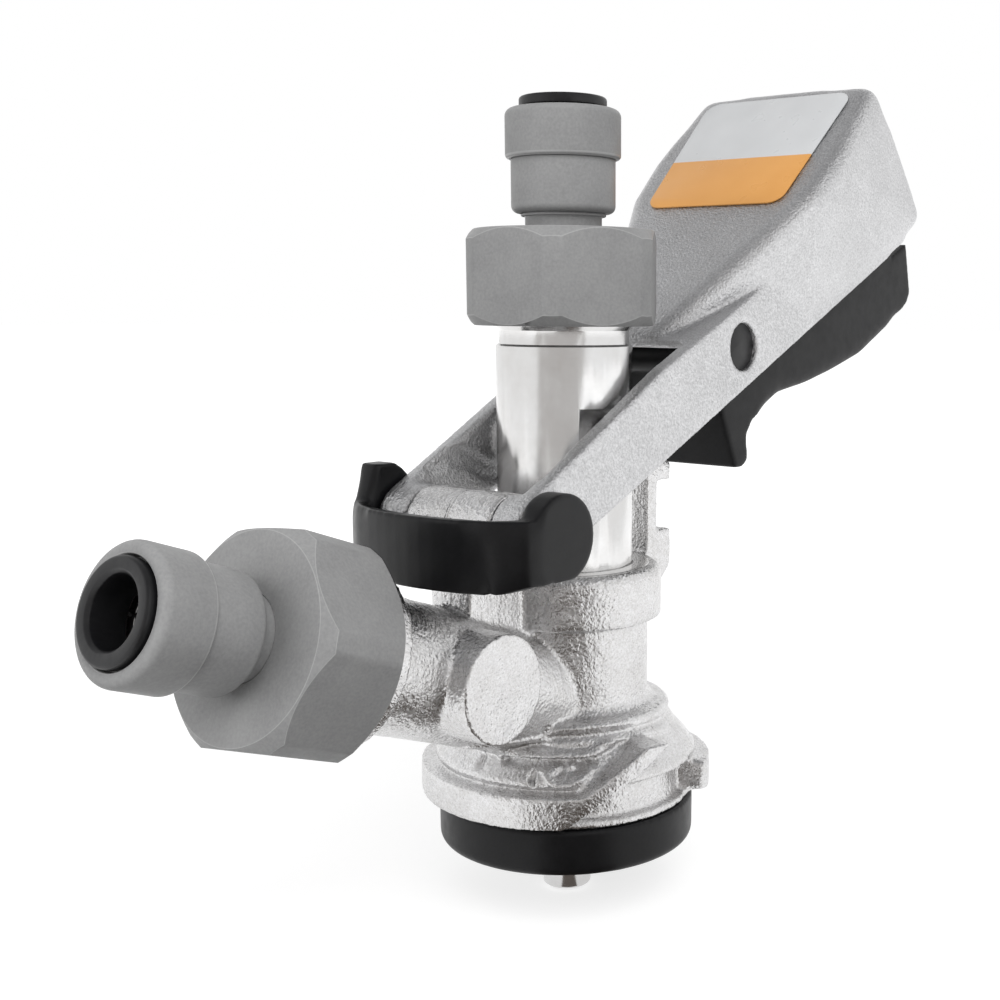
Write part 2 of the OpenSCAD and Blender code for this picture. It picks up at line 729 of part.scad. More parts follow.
module ball_retainer() {
    low = probe_top_z - retainer_t;
    color([0.85, 0.85, 0.85]) {
        ring(ball_room_r, ball_room_r - retainer_wall, low, probe_top_z);
        translate([0, 0, low + retainer_t / 2])
            cube([2 * ball_room_r - retainer_wall, retainer_bar, retainer_t], center = true);
    }
}

// Lever: two arms on the hinge, the lugs that drive the probe, and the hood that the hand holds
function roof(at) = nose_up + (at - nose_at) * tan(top_slope);
module hood_shape(inset, drop) {
    hull() {
        for (s = hood_top_shares) both_sides() translate([nose_at + s[0] * hood_len,
            s[1] * hood_w / 2 - hood_round, roof(nose_at + s[0] * hood_len) - hood_round / cos(top_slope)])
            sphere(r = hood_round - inset, $fn = ball_fine);
        for (s = hood_low_shares) both_sides() translate([nose_at + s[0] * hood_len,
            s[1] * hood_w / 2 - hood_round, s[2] * hood_h - arm_low - drop])
            sphere(r = hood_round - inset, $fn = ball_fine);
    }
}
module arm() {
    translate([0, (arm_in + arm_out) / 2, 0]) {
        bar_y(arm_end_r, arm_t);
        plate_y(arm_t) polygon([[0, -arm_low], [arm_root_at, -arm_low], [arm_root_at, 0],
            [arm_root_up_at, arm_high],
            [arm_full_at, arm_high], [0, arm_end_r]]);
    }
    translate([0, (knuckle_w + face_gap + arm_out) / 4 + arm_in / 4, 0])
        bar_y(barrel_r, (arm_out + arm_in) / 2 - (knuckle_w + face_gap) / 2);
    translate([cam_at, (cam_in + arm_out) / 2, cam_up]) bar_y(cam_r, arm_out - cam_in);
}
module handle() {
    seat_top_z = spring_top_z;
    color([0.72, 0.72, 0.72]) difference() {
        union() {
            in_arms() {
                both_sides() arm();
                difference() {
                    union() {
                        hood_shape(0, 0);
                        translate([nose_at, -arm_out + deck_edge, arm_high - deck_t])
                            cube([deck_end_at - nose_at, 2 * (arm_out - deck_edge), deck_t]);
                    }
                    hood_shape(hood_wall, mouth_drop);
                    translate([0, -arm_in, -arm_low - cut])
                        cube([tail_at, 2 * arm_in, arm_low + arm_high - deck_t + cut]);
                    bar_y(sweep_r, 2 * arm_in);
                    translate([tail_at - cut, -arm_in, -arm_low - cut])
                        cube([hood_len, 2 * arm_in, arm_low + cut + tail_notch]);
                }
            }
            intersection() {
                in_arms() hood_shape(0, 0);
                translate([spring_x, 0, seat_top_z]) cylinder(r = spring_seat_r, h = hood_h, $fn = fine / 2);
            }
            translate([spring_x, 0, seat_top_z - spring_post_len])
                cylinder(r = spring_post_r, h = spring_post_len, $fn = fine / 2);
        }
        in_arms() {
            bar_y(pin_r + run_gap, 2 * arm_out + cut);
            translate([pivot_at, 0, pivot_up]) bar_y(hole_r, 2 * arm_out + cut);
        }
    }
}
module handle_label() {
    color([0.93, 0.9, 0.86]) in_arms() translate([nose_at, 0, nose_up]) rotate([0, -top_slope, 0])
        translate([label_at, 0, run_gap]) linear_extrude(label_t)
            polygon([for (c = label_corners) each
                rounding(c[0] * label_len - c[2], c[1] * label_w / 2 - c[3], label_round, c[4],
                    c[4] + square)]);
}

// Trigger under the hood, its pin and its spring
module trigger_pin() {
    color([0.07, 0.07, 0.075]) in_arms() translate([pivot_at, 0, pivot_up])
        bar_y(hole_r, 2 * (arm_out - pin_recess));
}
function belly_at(s) = trigger_front + s * trigger_len;
module trigger() {
    back = belly_at(1) - tail_step;
    color([0.08, 0.08, 0.085]) difference() {
        union() {
            in_arms() difference() {
                union() {
                    plate_y(2 * trigger_y) polygon(concat(
                        [[trigger_front, trigger_up]],
                        [for (s = belly_shares) [belly_at(s[0]), -s[1] * trigger_depth]],
                        [[back, -belly_shares[len(belly_shares) - 1][1] * trigger_depth],
                            [back, trigger_up]]));
                    translate([pivot_at, 0, pivot_up]) bar_y(hole_r + boss_wall, 2 * trigger_y);
                    translate([pawl_at, 0, pawl_up]) bar_y(pawl_r, pawl_w);
                    plate_y(pawl_w) polygon([[pawl_at, pawl_up - pawl_r], [pivot_at, pivot_up - hole_r],
                        [pivot_at, pivot_up + hole_r], [pawl_at, pawl_up + pawl_r]]);
                }
                plate_y(2 * (trigger_y - trigger_wall)) polygon(concat(
                    [for (s = belly_shares) if (s[0] > pocket_start_share && s[0] < pocket_end_share)
                        [belly_at(s[0]), trigger_floor - s[1] * trigger_depth]],
                    [[back - trigger_wall, -trigger_depth / 2], [back - trigger_wall, trigger_up + cut],
                        [belly_at(pocket_start_share), trigger_up + cut],
                        [belly_at(pocket_start_share), -trigger_depth / 2]]));
            }
            translate([spring_x, 0, spring_low_z - spring_seat_len])
                cylinder(r = spring_seat_r, h = spring_seat_len, $fn = fine / 2);
            translate([spring_x, 0, spring_low_z])
                cylinder(r = spring_post_r, h = spring_post_len, $fn = fine / 2);
        }
        in_arms() translate([pivot_at, 0, pivot_up]) bar_y(hole_r + run_gap, 2 * arm_in);
    }
}
function coil(i) = let (a = turn * i / spring_rings,
    rise = (spring_top_z - spring_low_z - 2 * spring_wire - 2 * seat_gap) * i / (spring_curls * spring_rings))
    [spring_r * cos(a), spring_r * sin(a), spring_low_z + seat_gap + spring_wire + rise];
function coil_ring(i) = let (a = turn * i / spring_rings, c = coil(i))
    [for (j = [0:spring_sides - 1]) let (b = turn * j / spring_sides)
        [c[0] + spring_wire * cos(b) * cos(a), c[1] + spring_wire * cos(b) * sin(a),
            c[2] + spring_wire * sin(b)]];
module trigger_spring() {
    count = spring_curls * spring_rings;
    rows = [for (i = [0:count]) each coil_ring(i)];
    sides = [for (i = [0:count - 1]) for (j = [0:spring_sides - 1])
        let (a = i * spring_sides + j, b = i * spring_sides + (j + 1) % spring_sides)
        each [[a, a + spring_sides, b], [b, a + spring_sides, b + spring_sides]]];
    ends = [for (j = [1:spring_sides - 2]) each [[0, j, j + 1],
        [count * spring_sides, count * spring_sides + j + 1, count * spring_sides + j]]];
    color([0.7, 0.7, 0.7]) translate([spring_x, 0, 0]) polyhedron(rows, concat(sides, ends));
}
echo(coil_gap = (spring_top_z - spring_low_z) / spring_curls - 2 * spring_wire);

coupler_body();
keg_seal();
guide_orings();
gas_check_valve();
hinge_pin();
hinge_clip();
gas_nut_washer();
gas_fitting_tail();
gas_fitting_socket();
gas_tube_orings();
gas_grab_ring();
gas_fitting_cap();
gas_nut();
gas_collet();
probe_tube();
probe_seal();
probe_tip();
ball_retainer();
beer_nut_washer();
beer_fitting_tail();
beer_fitting_socket();
beer_tube_orings();
beer_grab_ring();
beer_fitting_cap();
check_ball();
beer_nut();
beer_collet();
handle();
handle_label();
trigger_pin();
trigger();
trigger_spring();
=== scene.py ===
"""Looks of a keg coupler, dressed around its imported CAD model. Metres, in the CAD model's frame."""

import json
import math

import bmesh
import bpy
import numpy as np
from mathutils import Matrix, Vector, noise as field

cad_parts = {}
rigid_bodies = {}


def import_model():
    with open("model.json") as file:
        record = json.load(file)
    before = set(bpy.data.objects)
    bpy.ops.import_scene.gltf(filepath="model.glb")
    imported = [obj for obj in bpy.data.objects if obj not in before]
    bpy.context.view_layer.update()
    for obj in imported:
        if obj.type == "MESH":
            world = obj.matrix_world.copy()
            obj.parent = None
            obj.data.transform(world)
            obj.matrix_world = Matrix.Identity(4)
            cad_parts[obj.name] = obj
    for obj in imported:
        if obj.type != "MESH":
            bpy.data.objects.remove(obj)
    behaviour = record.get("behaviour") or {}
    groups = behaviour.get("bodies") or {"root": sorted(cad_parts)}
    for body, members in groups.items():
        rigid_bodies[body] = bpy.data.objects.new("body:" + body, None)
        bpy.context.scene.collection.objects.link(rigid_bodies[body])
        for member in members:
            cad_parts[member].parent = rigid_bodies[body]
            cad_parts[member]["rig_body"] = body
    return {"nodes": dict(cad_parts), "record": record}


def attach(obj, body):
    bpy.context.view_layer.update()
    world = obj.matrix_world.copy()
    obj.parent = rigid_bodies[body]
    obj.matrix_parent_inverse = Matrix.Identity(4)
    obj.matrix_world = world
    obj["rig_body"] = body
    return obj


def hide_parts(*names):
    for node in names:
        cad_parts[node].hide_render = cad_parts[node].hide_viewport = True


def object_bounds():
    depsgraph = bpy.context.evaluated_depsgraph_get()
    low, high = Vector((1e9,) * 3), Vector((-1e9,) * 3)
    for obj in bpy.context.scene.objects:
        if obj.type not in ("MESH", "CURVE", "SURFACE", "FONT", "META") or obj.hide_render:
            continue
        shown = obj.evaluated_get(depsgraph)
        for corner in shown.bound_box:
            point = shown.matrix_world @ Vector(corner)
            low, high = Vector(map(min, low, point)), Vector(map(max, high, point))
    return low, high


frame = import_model()
cad_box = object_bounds()

MM = 0.001
NODES = frame["nodes"]
SLOTS = {entry["node"]: entry["material_slot"] for entry in frame["record"]["subparts"]}

# Places that the CAD model also uses
HINGE = np.array((-22.7, 0, 56.8)) * MM
ARM_ANGLE = math.radians(24.7)
ROOF_ANGLE = ARM_ANGLE + math.radians(18.16)
INLET_ANGLE = math.radians(19.8)
ALONG_ARM = np.array((math.cos(ARM_ANGLE), 0, math.sin(ARM_ANGLE)))
ABOVE_ARM = np.array((-math.sin(ARM_ANGLE), 0, math.cos(ARM_ANGLE)))
ALONG_ROOF = np.array((math.cos(ROOF_ANGLE), 0, math.sin(ROOF_ANGLE)))
ALONG_INLET = np.array((-math.cos(INLET_ANGLE), 0, math.sin(INLET_ANGLE)))
ROOF_START = HINGE + (47.8 * ALONG_ARM + 9.7 * ABOVE_ARM) * MM
COLLAR_TOP = 48.2 * MM
LABEL_SEAM = 49.2 * MM


# Materials
def new_material(name):
    material = bpy.data.materials.new(name)
    material.use_nodes = True
    tree = material.node_tree
    return material, tree, tree.nodes["Principled BSDF"]


def metal(name):
    material, tree, shader = new_material(name)
    shader.inputs["Metallic"].default_value = 1
    return material, tree, shader


def place(tree, stretch=None):
    where = tree.nodes.new("ShaderNodeTexCoord").outputs["Object"]
    if not stretch:
        return where
    scaled = tree.nodes.new("ShaderNodeVectorMath")
    scaled.operation = "MULTIPLY"
    scaled.inputs[1].default_value = stretch
    tree.links.new(where, scaled.inputs[0])
    return scaled.outputs[0]


def noise(tree, size, detail=3.0, roughness=0.5, stretch=None, distortion=0.0):
    node = tree.nodes.new("ShaderNodeTexNoise")
    node.inputs["Scale"].default_value = 1 / size
    node.inputs["Detail"].default_value = detail
    node.inputs["Roughness"].default_value = roughness
    node.inputs["Distortion"].default_value = distortion
    tree.links.new(place(tree, stretch), node.inputs["Vector"])
    return node.outputs["Fac"]


def pits(tree, size):
    node = tree.nodes.new("ShaderNodeTexVoronoi")
    node.feature = "SMOOTH_F1"
    node.inputs["Scale"].default_value = 1 / size
    node.inputs["Smoothness"].default_value = 0.6
    tree.links.new(place(tree), node.inputs["Vector"])
    return node.outputs["Distance"]


def spread(tree, value, low, high, to_low, to_high):
    node = tree.nodes.new("ShaderNodeMapRange")
    for key, number in (("From Min", low), ("From Max", high), ("To Min", to_low), ("To Max", to_high)):
        node.inputs[key].default_value = number
    tree.links.new(value, node.inputs["Value"])
    return node.outputs["Result"]


def varied(tree, size, low, high, detail=5, roughness=0.5, swing=0.2):
    """Patches of a size that go from low to high; the noise swings this far about its middle."""
    patches = noise(tree, size, detail, roughness)
    return spread(tree, patches, 0.5 - swing, 0.5 + swing, low, high)


def worked(tree, operation, first, second):
    node = tree.nodes.new("ShaderNodeMath")
    node.operation = operation
    for socket, value in zip(node.inputs, (first, second)):
        if isinstance(value, (int, float)):
            socket.default_value = value
        else:
            tree.links.new(value, socket)
    return node.outputs[0]


def along(tree, direction, start=(0, 0, 0)):
    """Distance of a point from the start, measured along a direction."""
    node = tree.nodes.new("ShaderNodeVectorMath")
    node.operation = "DOT_PRODUCT"
    node.inputs[1].default_value = tuple(direction)
    tree.links.new(place(tree), node.inputs[0])
    return worked(tree, "SUBTRACT", node.outputs["Value"], float(np.dot(direction, start)))


def between(tree, value, dark, light):
    node = tree.nodes.new("ShaderNodeMix")
    node.data_type = "RGBA"
    for key, colour in (("A", dark), ("B", light)):
        if isinstance(colour, tuple):
            node.inputs[key].default_value = (*colour, 1)
        else:
            tree.links.new(colour, node.inputs[key])
    tree.links.new(value, node.inputs["Factor"])
    return node.outputs["Result"]


def bump(tree, height, depth, over=None):
    node = tree.nodes.new("ShaderNodeBump")
    node.inputs["Distance"].default_value = depth
    tree.links.new(height, node.inputs["Height"])
    if over:
        tree.links.new(over, node.inputs["Normal"])
    return node.outputs["Normal"]


def finish(tree, shader, colour, gloss, normal):
    tree.links.new(colour, shader.inputs["Base Color"])
    tree.links.new(gloss, shader.inputs["Roughness"])
    tree.links.new(normal, shader.inputs["Normal"])


def speckled(tree, patch, grain, share):
    """0 to 1 in wide patches, with a share of fine grain over them."""
    wide = varied(tree, patch, 0, 1 - share, roughness=0.6)
    return worked(tree, "ADD", wide, varied(tree, grain, 0, share, detail=2))


def gloss_near(tree, size, roughness):
    """Roughness that wanders a little about its value."""
    return varied(tree, size, roughness - 0.04, roughness + 0.06)


def plastic(name, dark, light, roughness, grain, depth, shine):
    """Moulded plastic or rubber: fine grain over slow waves."""
    material, tree, shader = new_material(name)
    shader.inputs["Specular IOR Level"].default_value = shine
    mottle = speckled(tree, patch=9 * MM, grain=0.45 * MM, share=0.45)
    gloss = gloss_near(tree, 2.2 * MM, roughness)
    fine = bump(tree, noise(tree, grain, detail=4, roughness=0.6), depth)
    waves = bump(tree, noise(tree, 4 * MM), depth, over=fine)
    finish(tree, shader, between(tree, mottle, dark, light), gloss, waves)
    return material


def casting():
    """Bright plated rough casting: fine hammered bumps, and a parting line in the middle plane."""
    material, tree, shader = metal("nickel_casting")
    tint = speckled(tree, patch=6 * MM, grain=0.4 * MM, share=0.6)
    colour = between(tree, tint, dark=(0.57, 0.56, 0.55), light=(0.79, 0.79, 0.8))
    gloss = varied(tree, 1.6 * MM, 0.17, 0.32)
    grains = bump(tree, noise(tree, 0.36 * MM, detail=2.5), depth=0.13 * MM)
    hammered = bump(tree, pits(tree, 0.65 * MM), depth=0.1 * MM, over=grains)
    rolling = bump(tree, noise(tree, 3.4 * MM, detail=2), depth=0.12 * MM, over=hammered)
    off_middle = worked(tree, "ABSOLUTE", along(tree, (0, 1, 0)), 0)
    seam = spread(tree, off_middle, 0.1 * MM, 0.34 * MM, 1, 0)
    above_base = spread(tree, along(tree, (0, 0, 1)), 17 * MM, 18 * MM, 0, 1)
    line = bump(tree, worked(tree, "MULTIPLY", seam, above_base), depth=0.14 * MM, over=rolling)
    finish(tree, shader, colour, gloss, line)
    return material


def turned(name, dark, light, roughness, depth):
    """Turned and polished: fine lines round the axis, and a few light scratches along it."""
    material, tree, shader = metal(name)
    tint = varied(tree, 8 * MM, 0, 1, roughness=0.6)
    gloss = gloss_near(tree, 3 * MM, roughness)
    round_axis, along_axis = (0.015, 0.015, 1), (6, 6, 0.35)
    lines = bump(tree, noise(tree, 0.12 * MM, detail=4, roughness=0.7, stretch=round_axis), depth)
    marks = noise(tree, 2.4 * MM, detail=4, roughness=0.7, stretch=along_axis, distortion=0.4)
    scratches = bump(tree, spread(tree, marks, 0.7, 0.74, 0, -1), depth=0.006 * MM, over=lines)
    finish(tree, shader, between(tree, tint, dark, light), gloss, scratches)
    return material


def blasted():
    """Satin blasted die casting."""
    material, tree, shader = metal("blasted_casting")
    tint = speckled(tree, patch=11 * MM, grain=0.38 * MM, share=0.75)
    colour = between(tree, tint, dark=(0.5, 0.5, 0.505), light=(0.76, 0.76, 0.77))
    gloss = varied(tree, 2.5 * MM, 0.33, 0.43)
    grains = bump(tree, noise(tree, 0.42 * MM, detail=2.5, roughness=0.55), depth=0.27 * MM)
    pitted = bump(tree, pits(tree, 0.9 * MM), depth=0.07 * MM, over=grains)
    finish(tree, shader, colour, gloss, pitted)
    return material


def two_colours():
    """Bare plate of two plain colours that meet in a straight line across it."""
    material, tree, shader = new_material("label_plate")
    run = along(tree, ALONG_ROOF, ROOF_START)
    mask = spread(tree, run, LABEL_SEAM - 0.1 * MM, LABEL_SEAM + 0.1 * MM, 0, 1)
    mottle = varied(tree, 7 * MM, 0, 1, detail=1, swing=0.3)
    front = between(tree, mottle, dark=(0.74, 0.35, 0.09), light=(0.79, 0.39, 0.11))
    rear = between(tree, mottle, dark=(0.62, 0.63, 0.64), light=(0.67, 0.68, 0.69))
    gloss = varied(tree, 3 * MM, 0.26, 0.34, detail=1, swing=0.3)
    waves = bump(tree, noise(tree, 12 * MM, detail=1), depth=0.02 * MM)
    finish(tree, shader, between(tree, mask, front, rear), gloss, waves)
    return material


# Plastics and rubbers by material slot: name, dark and light colour, roughness, size and depth of the
# grain in mm, and strength of the shine
SOFT_RUBBER = ((0.03, 0.03, 0.03), (0.05, 0.05, 0.05))
RINGS = ((0.01, 0.01, 0.01), (0.016, 0.016, 0.016))
SEALS = ((0.004, 0.004, 0.0045), (0.008, 0.008, 0.009))
CLIP_BLACK = ((0.003, 0.003, 0.0035), (0.006, 0.006, 0.007))
TRIGGER_BLACK = ((0.007, 0.007, 0.0075), (0.012, 0.012, 0.013))
COLLET_BLACK = ((0.006, 0.006, 0.007), (0.011, 0.011, 0.012))
GREY = ((0.25, 0.25, 0.252), (0.345, 0.345, 0.345))
# Lighter grey for the rounded edges of the grey acetal nuts and fittings: a painted highlight along
# those edges
EDGE_HIGHLIGHT_GREY = ((0.36, 0.36, 0.36), (0.42, 0.42, 0.42))
WHITE = ((0.72, 0.72, 0.7), (0.78, 0.78, 0.76))
PLASTICS = {
    "seal_rubber": ("seal_rubber", *SEALS, 0.38, 0.5, 0.008, 0.24),
    "ring_rubber": ("ring_rubber", *RINGS, 0.4, 0.4, 0.008, 0.5),
    "washer_rubber": ("washer_rubber", *SOFT_RUBBER, 0.6, 0.4, 0.01, 0.5),
    "valve_rubber": ("valve_rubber", *SOFT_RUBBER, 0.55, 0.4, 0.01, 0.5),
    "clip_plastic": ("clip_plastic", *CLIP_BLACK, 0.34, 0.4, 0.008, 0.28),
    "trigger_plastic": ("trigger_plastic", *TRIGGER_BLACK, 0.42, 0.25, 0.016, 0.2),
    "fitting_plastic": ("grey_acetal", *GREY, 0.47, 0.6, 0.012, 0.4),
    "collet_plastic": ("black_acetal", *COLLET_BLACK, 0.38, 0.4, 0.008, 0.4),
    "white_plastic": ("white_acetal", *WHITE, 0.35, 0.5, 0.005, 0.5),
    # The edge look is a painted highlight, lighter than the grey acetal that it sits on
    "edge": ("acetal_edge_highlight", *EDGE_HIGHLIGHT_GREY, 0.36, 0.5, 0.005, 0.5),
}
# Turned steels by slot: name, dark and light colour, roughness, and depth of the lines in mm
STEELS = {
    "probe_steel": ("turned_steel", (0.68, 0.67, 0.66), (0.78, 0.78, 0.78), 0.2, 0.006),
    "pin_steel": ("ground_steel", (0.55, 0.55, 0.55), (0.65, 0.65, 0.66), 0.25, 0.004),
    "spring_steel": ("wire_steel", (0.5, 0.5, 0.5), (0.6, 0.6, 0.6), 0.3, 0.003),
}
LOOKS = {"cast_body": casting(), "handle_metal": blasted(), "label_plastic": two_colours()}
for slot, (*look, depth) in STEELS.items():
    LOOKS[slot] = turned(*look, depth * MM)
for slot, (*look, grain, depth, shine) in PLASTICS.items():
    LOOKS[slot] = plastic(*look, grain * MM, depth * MM, shine)


# Pieces
def welded(node):
    mesh = NODES[node].data.copy()
    form = bmesh.new()
    form.from_mesh(mesh)
    nearest = 0.002 * MM
    bmesh.ops.remove_doubles(form, verts=form.verts, dist=nearest)
    bmesh.ops.dissolve_degenerate(form, edges=form.edges, dist=nearest)
    form.to_mesh(mesh)
    form.free()
    return mesh


def settled(node, mesh, name, look, replaces=True):
    """A piece from a finished mesh, riding the node's body."""
    piece = bpy.data.objects.new(name, mesh)
    bpy.context.scene.collection.objects.link(piece)
    for face in mesh.polygons:
        face.use_smooth = True
    mesh.materials.clear()
    mesh.materials.append(look)
    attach(piece, NODES[node]["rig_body"])
    if replaces:
        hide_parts(node)
    return piece


def dressed(node, look, width, segments=3, edge=None):
    """A node's own mesh, welded, with its edges rounded, in place of the node."""
    piece = settled(node, welded(node), node + ".dressed", look)
    rounding = piece.modifiers.new("edges", "BEVEL")
    rounding.width = width
    rounding.segments = segments
    rounding.limit_method = "ANGLE"
    rounding.angle_limit = math.radians(32)
    rounding.harden_normals = True
    # An optional second look for the rounded edges; the nuts and fittings use it as a painted edge
    # highlight
    if edge:
        piece.data.materials.append(edge)
        rounding.material = 1


class Cast:
    """A node's mesh as an even skin of small faces, whose points are then worked one by one."""

    def __init__(self, node, grain):
        self.node = node
        thing = bpy.data.objects.new("work", welded(node))
        bpy.context.scene.collection.objects.link(thing)
        skin = thing.modifiers.new("skin", "REMESH")
        skin.mode = "VOXEL"
        skin.voxel_size = grain
        graph = bpy.context.evaluated_depsgraph_get()
        self.mesh = bpy.data.meshes.new_from_object(thing.evaluated_get(graph))
        bpy.data.objects.remove(thing)
        count = len(self.mesh.vertices)
        self.points = np.empty(count * 3)
        self.mesh.vertices.foreach_get("co", self.points)
        self.points = self.points.reshape(-1, 3)
        self.edges = np.empty(len(self.mesh.edges) * 2, dtype=np.int64)
        self.mesh.edges.foreach_get("vertices", self.edges)
        self.edges = self.edges.reshape(-1, 2)
        self.degree = np.bincount(self.edges.ravel(), minlength=count)

    def relax(self, rounds, weight=1.0, share=0.5):
        """Draws each point towards its neighbours' middle, which rounds edges and fills corners."""
        a, b = self.edges.T
        count = len(self.points)
        weight = np.broadcast_to(weight, count)[:, None]
        for _ in range(rounds):
            sums = [
                np.bincount(a, self.points[b, i], count) + np.bincount(b, self.points[a, i], count)
                for i in range(3)
            ]
            middle = np.stack(sums, axis=1) / self.degree[:, None]
            self.points = self.points + (middle - self.points) * share * weight

    def even(self):
        """Takes the stair marks out and keeps the size."""
        for _ in range(3):
            self.relax(1, share=0.5)
            self.relax(1, share=-0.53)

    def normals(self):
        self.mesh.vertices.foreach_set("co", self.points.ravel())
        self.mesh.update()
        out = np.empty(len(self.points) * 3)
        self.mesh.vertices.foreach_get("normal", out)
        return out.reshape(-1, 3)

    def ripple(self, size, depth, weight=1.0, seed=0.0):
        """Slow bumps of a size and depth; the seed picks another stretch of the same noise."""
        shift = Vector((seed, seed * 2, seed * 3))
        rise = np.array([field.noise(Vector(p) / size + shift) for p in self.points]) * depth
        self.points = self.points + self.normals() * (rise * weight)[:, None]

    def done(self, look):
        margin = 0.01 * MM
        low, high = (np.array(corner) for corner in cad_box)
        self.points = np.clip(self.points, low + margin, high - margin)
        self.mesh.vertices.foreach_set("co", self.points.ravel())
        self.mesh.update()
        settled(self.node, self.mesh, self.node + ".cast", look)


def soft(value, low, high):
    """0 below low, 1 above high, smooth between."""
    t = np.clip((value - low) / (high - low), 0, 1)
    return t * t * (3 - 2 * t)


def fading(value, low, high):
    """1 below low, 0 above high, smooth between."""
    return 1 - soft(value, low, high)


def stroke(across, up, path, half_width):
    """How near the points of a flat chart lie to a drawn path: 1 on it, 0 beyond its half width."""
    core = 0.35
    near = np.full(across.shape, np.inf)
    for (x0, y0), (x1, y1) in zip(path, path[1:]):
        dx, dy = x1 - x0, y1 - y0
        t = np.clip(((across - x0) * dx + (up - y0) * dy) / (dx * dx + dy * dy), 0, 1)
        near = np.minimum(near, np.hypot(across - x0 - t * dx, up - y0 - t * dy))
    return fading(near, core * half_width, half_width)


# The base's cast ribs and pockets: angle round the axis in degrees and height in mm, half the width
# in mm, and how far they stand out or go in. The first list is on the inlet's side, and the second
# is on both sides.
INLET_STROKES = [
    ([(210, 22.5), (216, 23.7), (237, 24.1), (256, 23.9)], 0.8, 0.5),
    ([(210, 21.9), (218, 21.5), (235, 21.7), (265, 21.6), (285, 20.8)], 0.8, 0.5),
    ([(186, 22.2), (208, 22.2)], 0.8, 0.8),
    ([(210, 18.0), (216, 15.6), (222, 15.9), (230, 17.6)], 0.7, 0.5),
    ([(217, 17.2), (219, 17.9), (222, 17.4), (228, 18.1)], 0.8, -1.0),
    ([(179.5, 17.2), (179.5, 18.4)], 0.7, -0.8),
]
PAIRED_STROKES = [
    ([(189, 19.6), (202, 20.2), (216, 20.1), (228, 19.9), (236, 20.5), (243, 21.3)], 1.0, 0.9),
    ([(192, 18.7), (205, 18.6), (217, 18.8), (232, 18.9)], 0.8, -1.4),
    ([(206, 15.6), (206, 17.4)], 0.5, -0.9),
]
BASE_R = 20

# The casting's kept places, in mm: its bore, up to this reach along the inlet, and the collar's face
BORE_R, BORE_REACH = 12.4, 30
FACE_R, FACE_RIM_R, YOKE_X = 14.8, 14.9, -20
FACE_DEPTH, FACE_RIM_DEPTH, FACE_SUNK = 0.7, 0.9, 0.12
# The lugs' ends: the angle that they stand at in degrees, and the radii and heights that they span
LUG_ANGLE, HALF_TURN = 112, 180
LUG_ENDS, LUG_RADII, LUG_HEIGHTS = (2.5, 6.5), (21, 22.5), (16, 18)


def base_strokes():
    far_side = [([(a - HALF_TURN, h) for a, h in path], *rest) for path, *rest in PAIRED_STROKES]
    return INLET_STROKES + PAIRED_STROKES + far_side


def cast_body():
    form = Cast("coupler_body", grain=0.4 * MM)
    x, y, z = form.points.T / MM
    radius = np.hypot(x, y)

    def on_face(height, depth, rim):
        return (height > COLLAR_TOP / MM - depth) & (radius < rim) & (x > YOKE_X)

    bored = (radius < BORE_R) & (form.points @ ALONG_INLET / MM < BORE_REACH)
    weight = np.where(bored | on_face(z, FACE_DEPTH, FACE_R), 0.0, 1.0)
    form.even()
    form.relax(3, weight)

    # Ribs and pockets of the base, drawn on its unrolled outside
    angle = np.degrees(np.arctan2(form.points[:, 1], form.points[:, 0])) % 360
    height = form.points[:, 2] / MM
    outside = soft(np.hypot(form.points[:, 0], form.points[:, 1]) / MM, 15.5, 16.5)
    outwards = form.points * (1, 1, 0) / np.maximum(radius * MM, 1e-6)[:, None]
    unrolled = math.radians(1) * BASE_R
    for path, half_width, rise in base_strokes():
        near = stroke(angle * unrolled, height, [(a * unrolled, h) for a, h in path], half_width)
        form.points = form.points + outwards * (near * outside * rise * MM)[:, None]
    form.relax(1, weight * 0.6)

    # Rounded ends of the lugs, then the rough skin, and the collar kept below its machined face
    quarter = HALF_TURN / 2
    off_end = np.abs((angle - LUG_ANGLE + quarter) % HALF_TURN - quarter)
    ends = fading(off_end, *LUG_ENDS)
    form.relax(24, ends * soft(radius, *LUG_RADII) * fading(height, *LUG_HEIGHTS))
    form.ripple(2.6 * MM, 0.07 * MM, weight, seed=3.0)
    form.ripple(1.1 * MM, 0.05 * MM, weight, seed=11.0)
    flat = on_face(form.points[:, 2] / MM, FACE_RIM_DEPTH, FACE_RIM_R)
    form.points[flat, 2] = np.minimum(form.points[flat, 2], COLLAR_TOP - FACE_SUNK * MM)
    form.done(LOOKS["cast_body"])


def lathe(outline, segments=160):
    """Mesh turned about Z from a closed outline of radius and height in mm."""
    form = bmesh.new()
    rings = []
    for i in range(segments):
        turn = math.tau * i / segments
        across, up = MM * math.cos(turn), MM * math.sin(turn)
        rings.append([form.verts.new((r * across, r * up, h * MM)) for r, h in outline])
    for i in range(segments):
        one, two = rings[i], rings[(i + 1) % segments]
        for j in range(len(outline)):
            k = (j + 1) % len(outline)
            form.faces.new((one[j], two[j], two[k], one[k]))
    mesh = bpy.data.meshes.new("lathe")
    bmesh.ops.recalc_face_normals(form, faces=form.faces)
    form.to_mesh(mesh)
    form.free()
    return mesh


def corner(r, h, size, start):
    """Points of a rounded corner of an outline, centred at a radius and a height."""
    turns = [math.radians(start + 22.5 * i) for i in range(5)]
    return [(r + size * math.cos(turn), h + size * math.sin(turn)) for turn in turns]


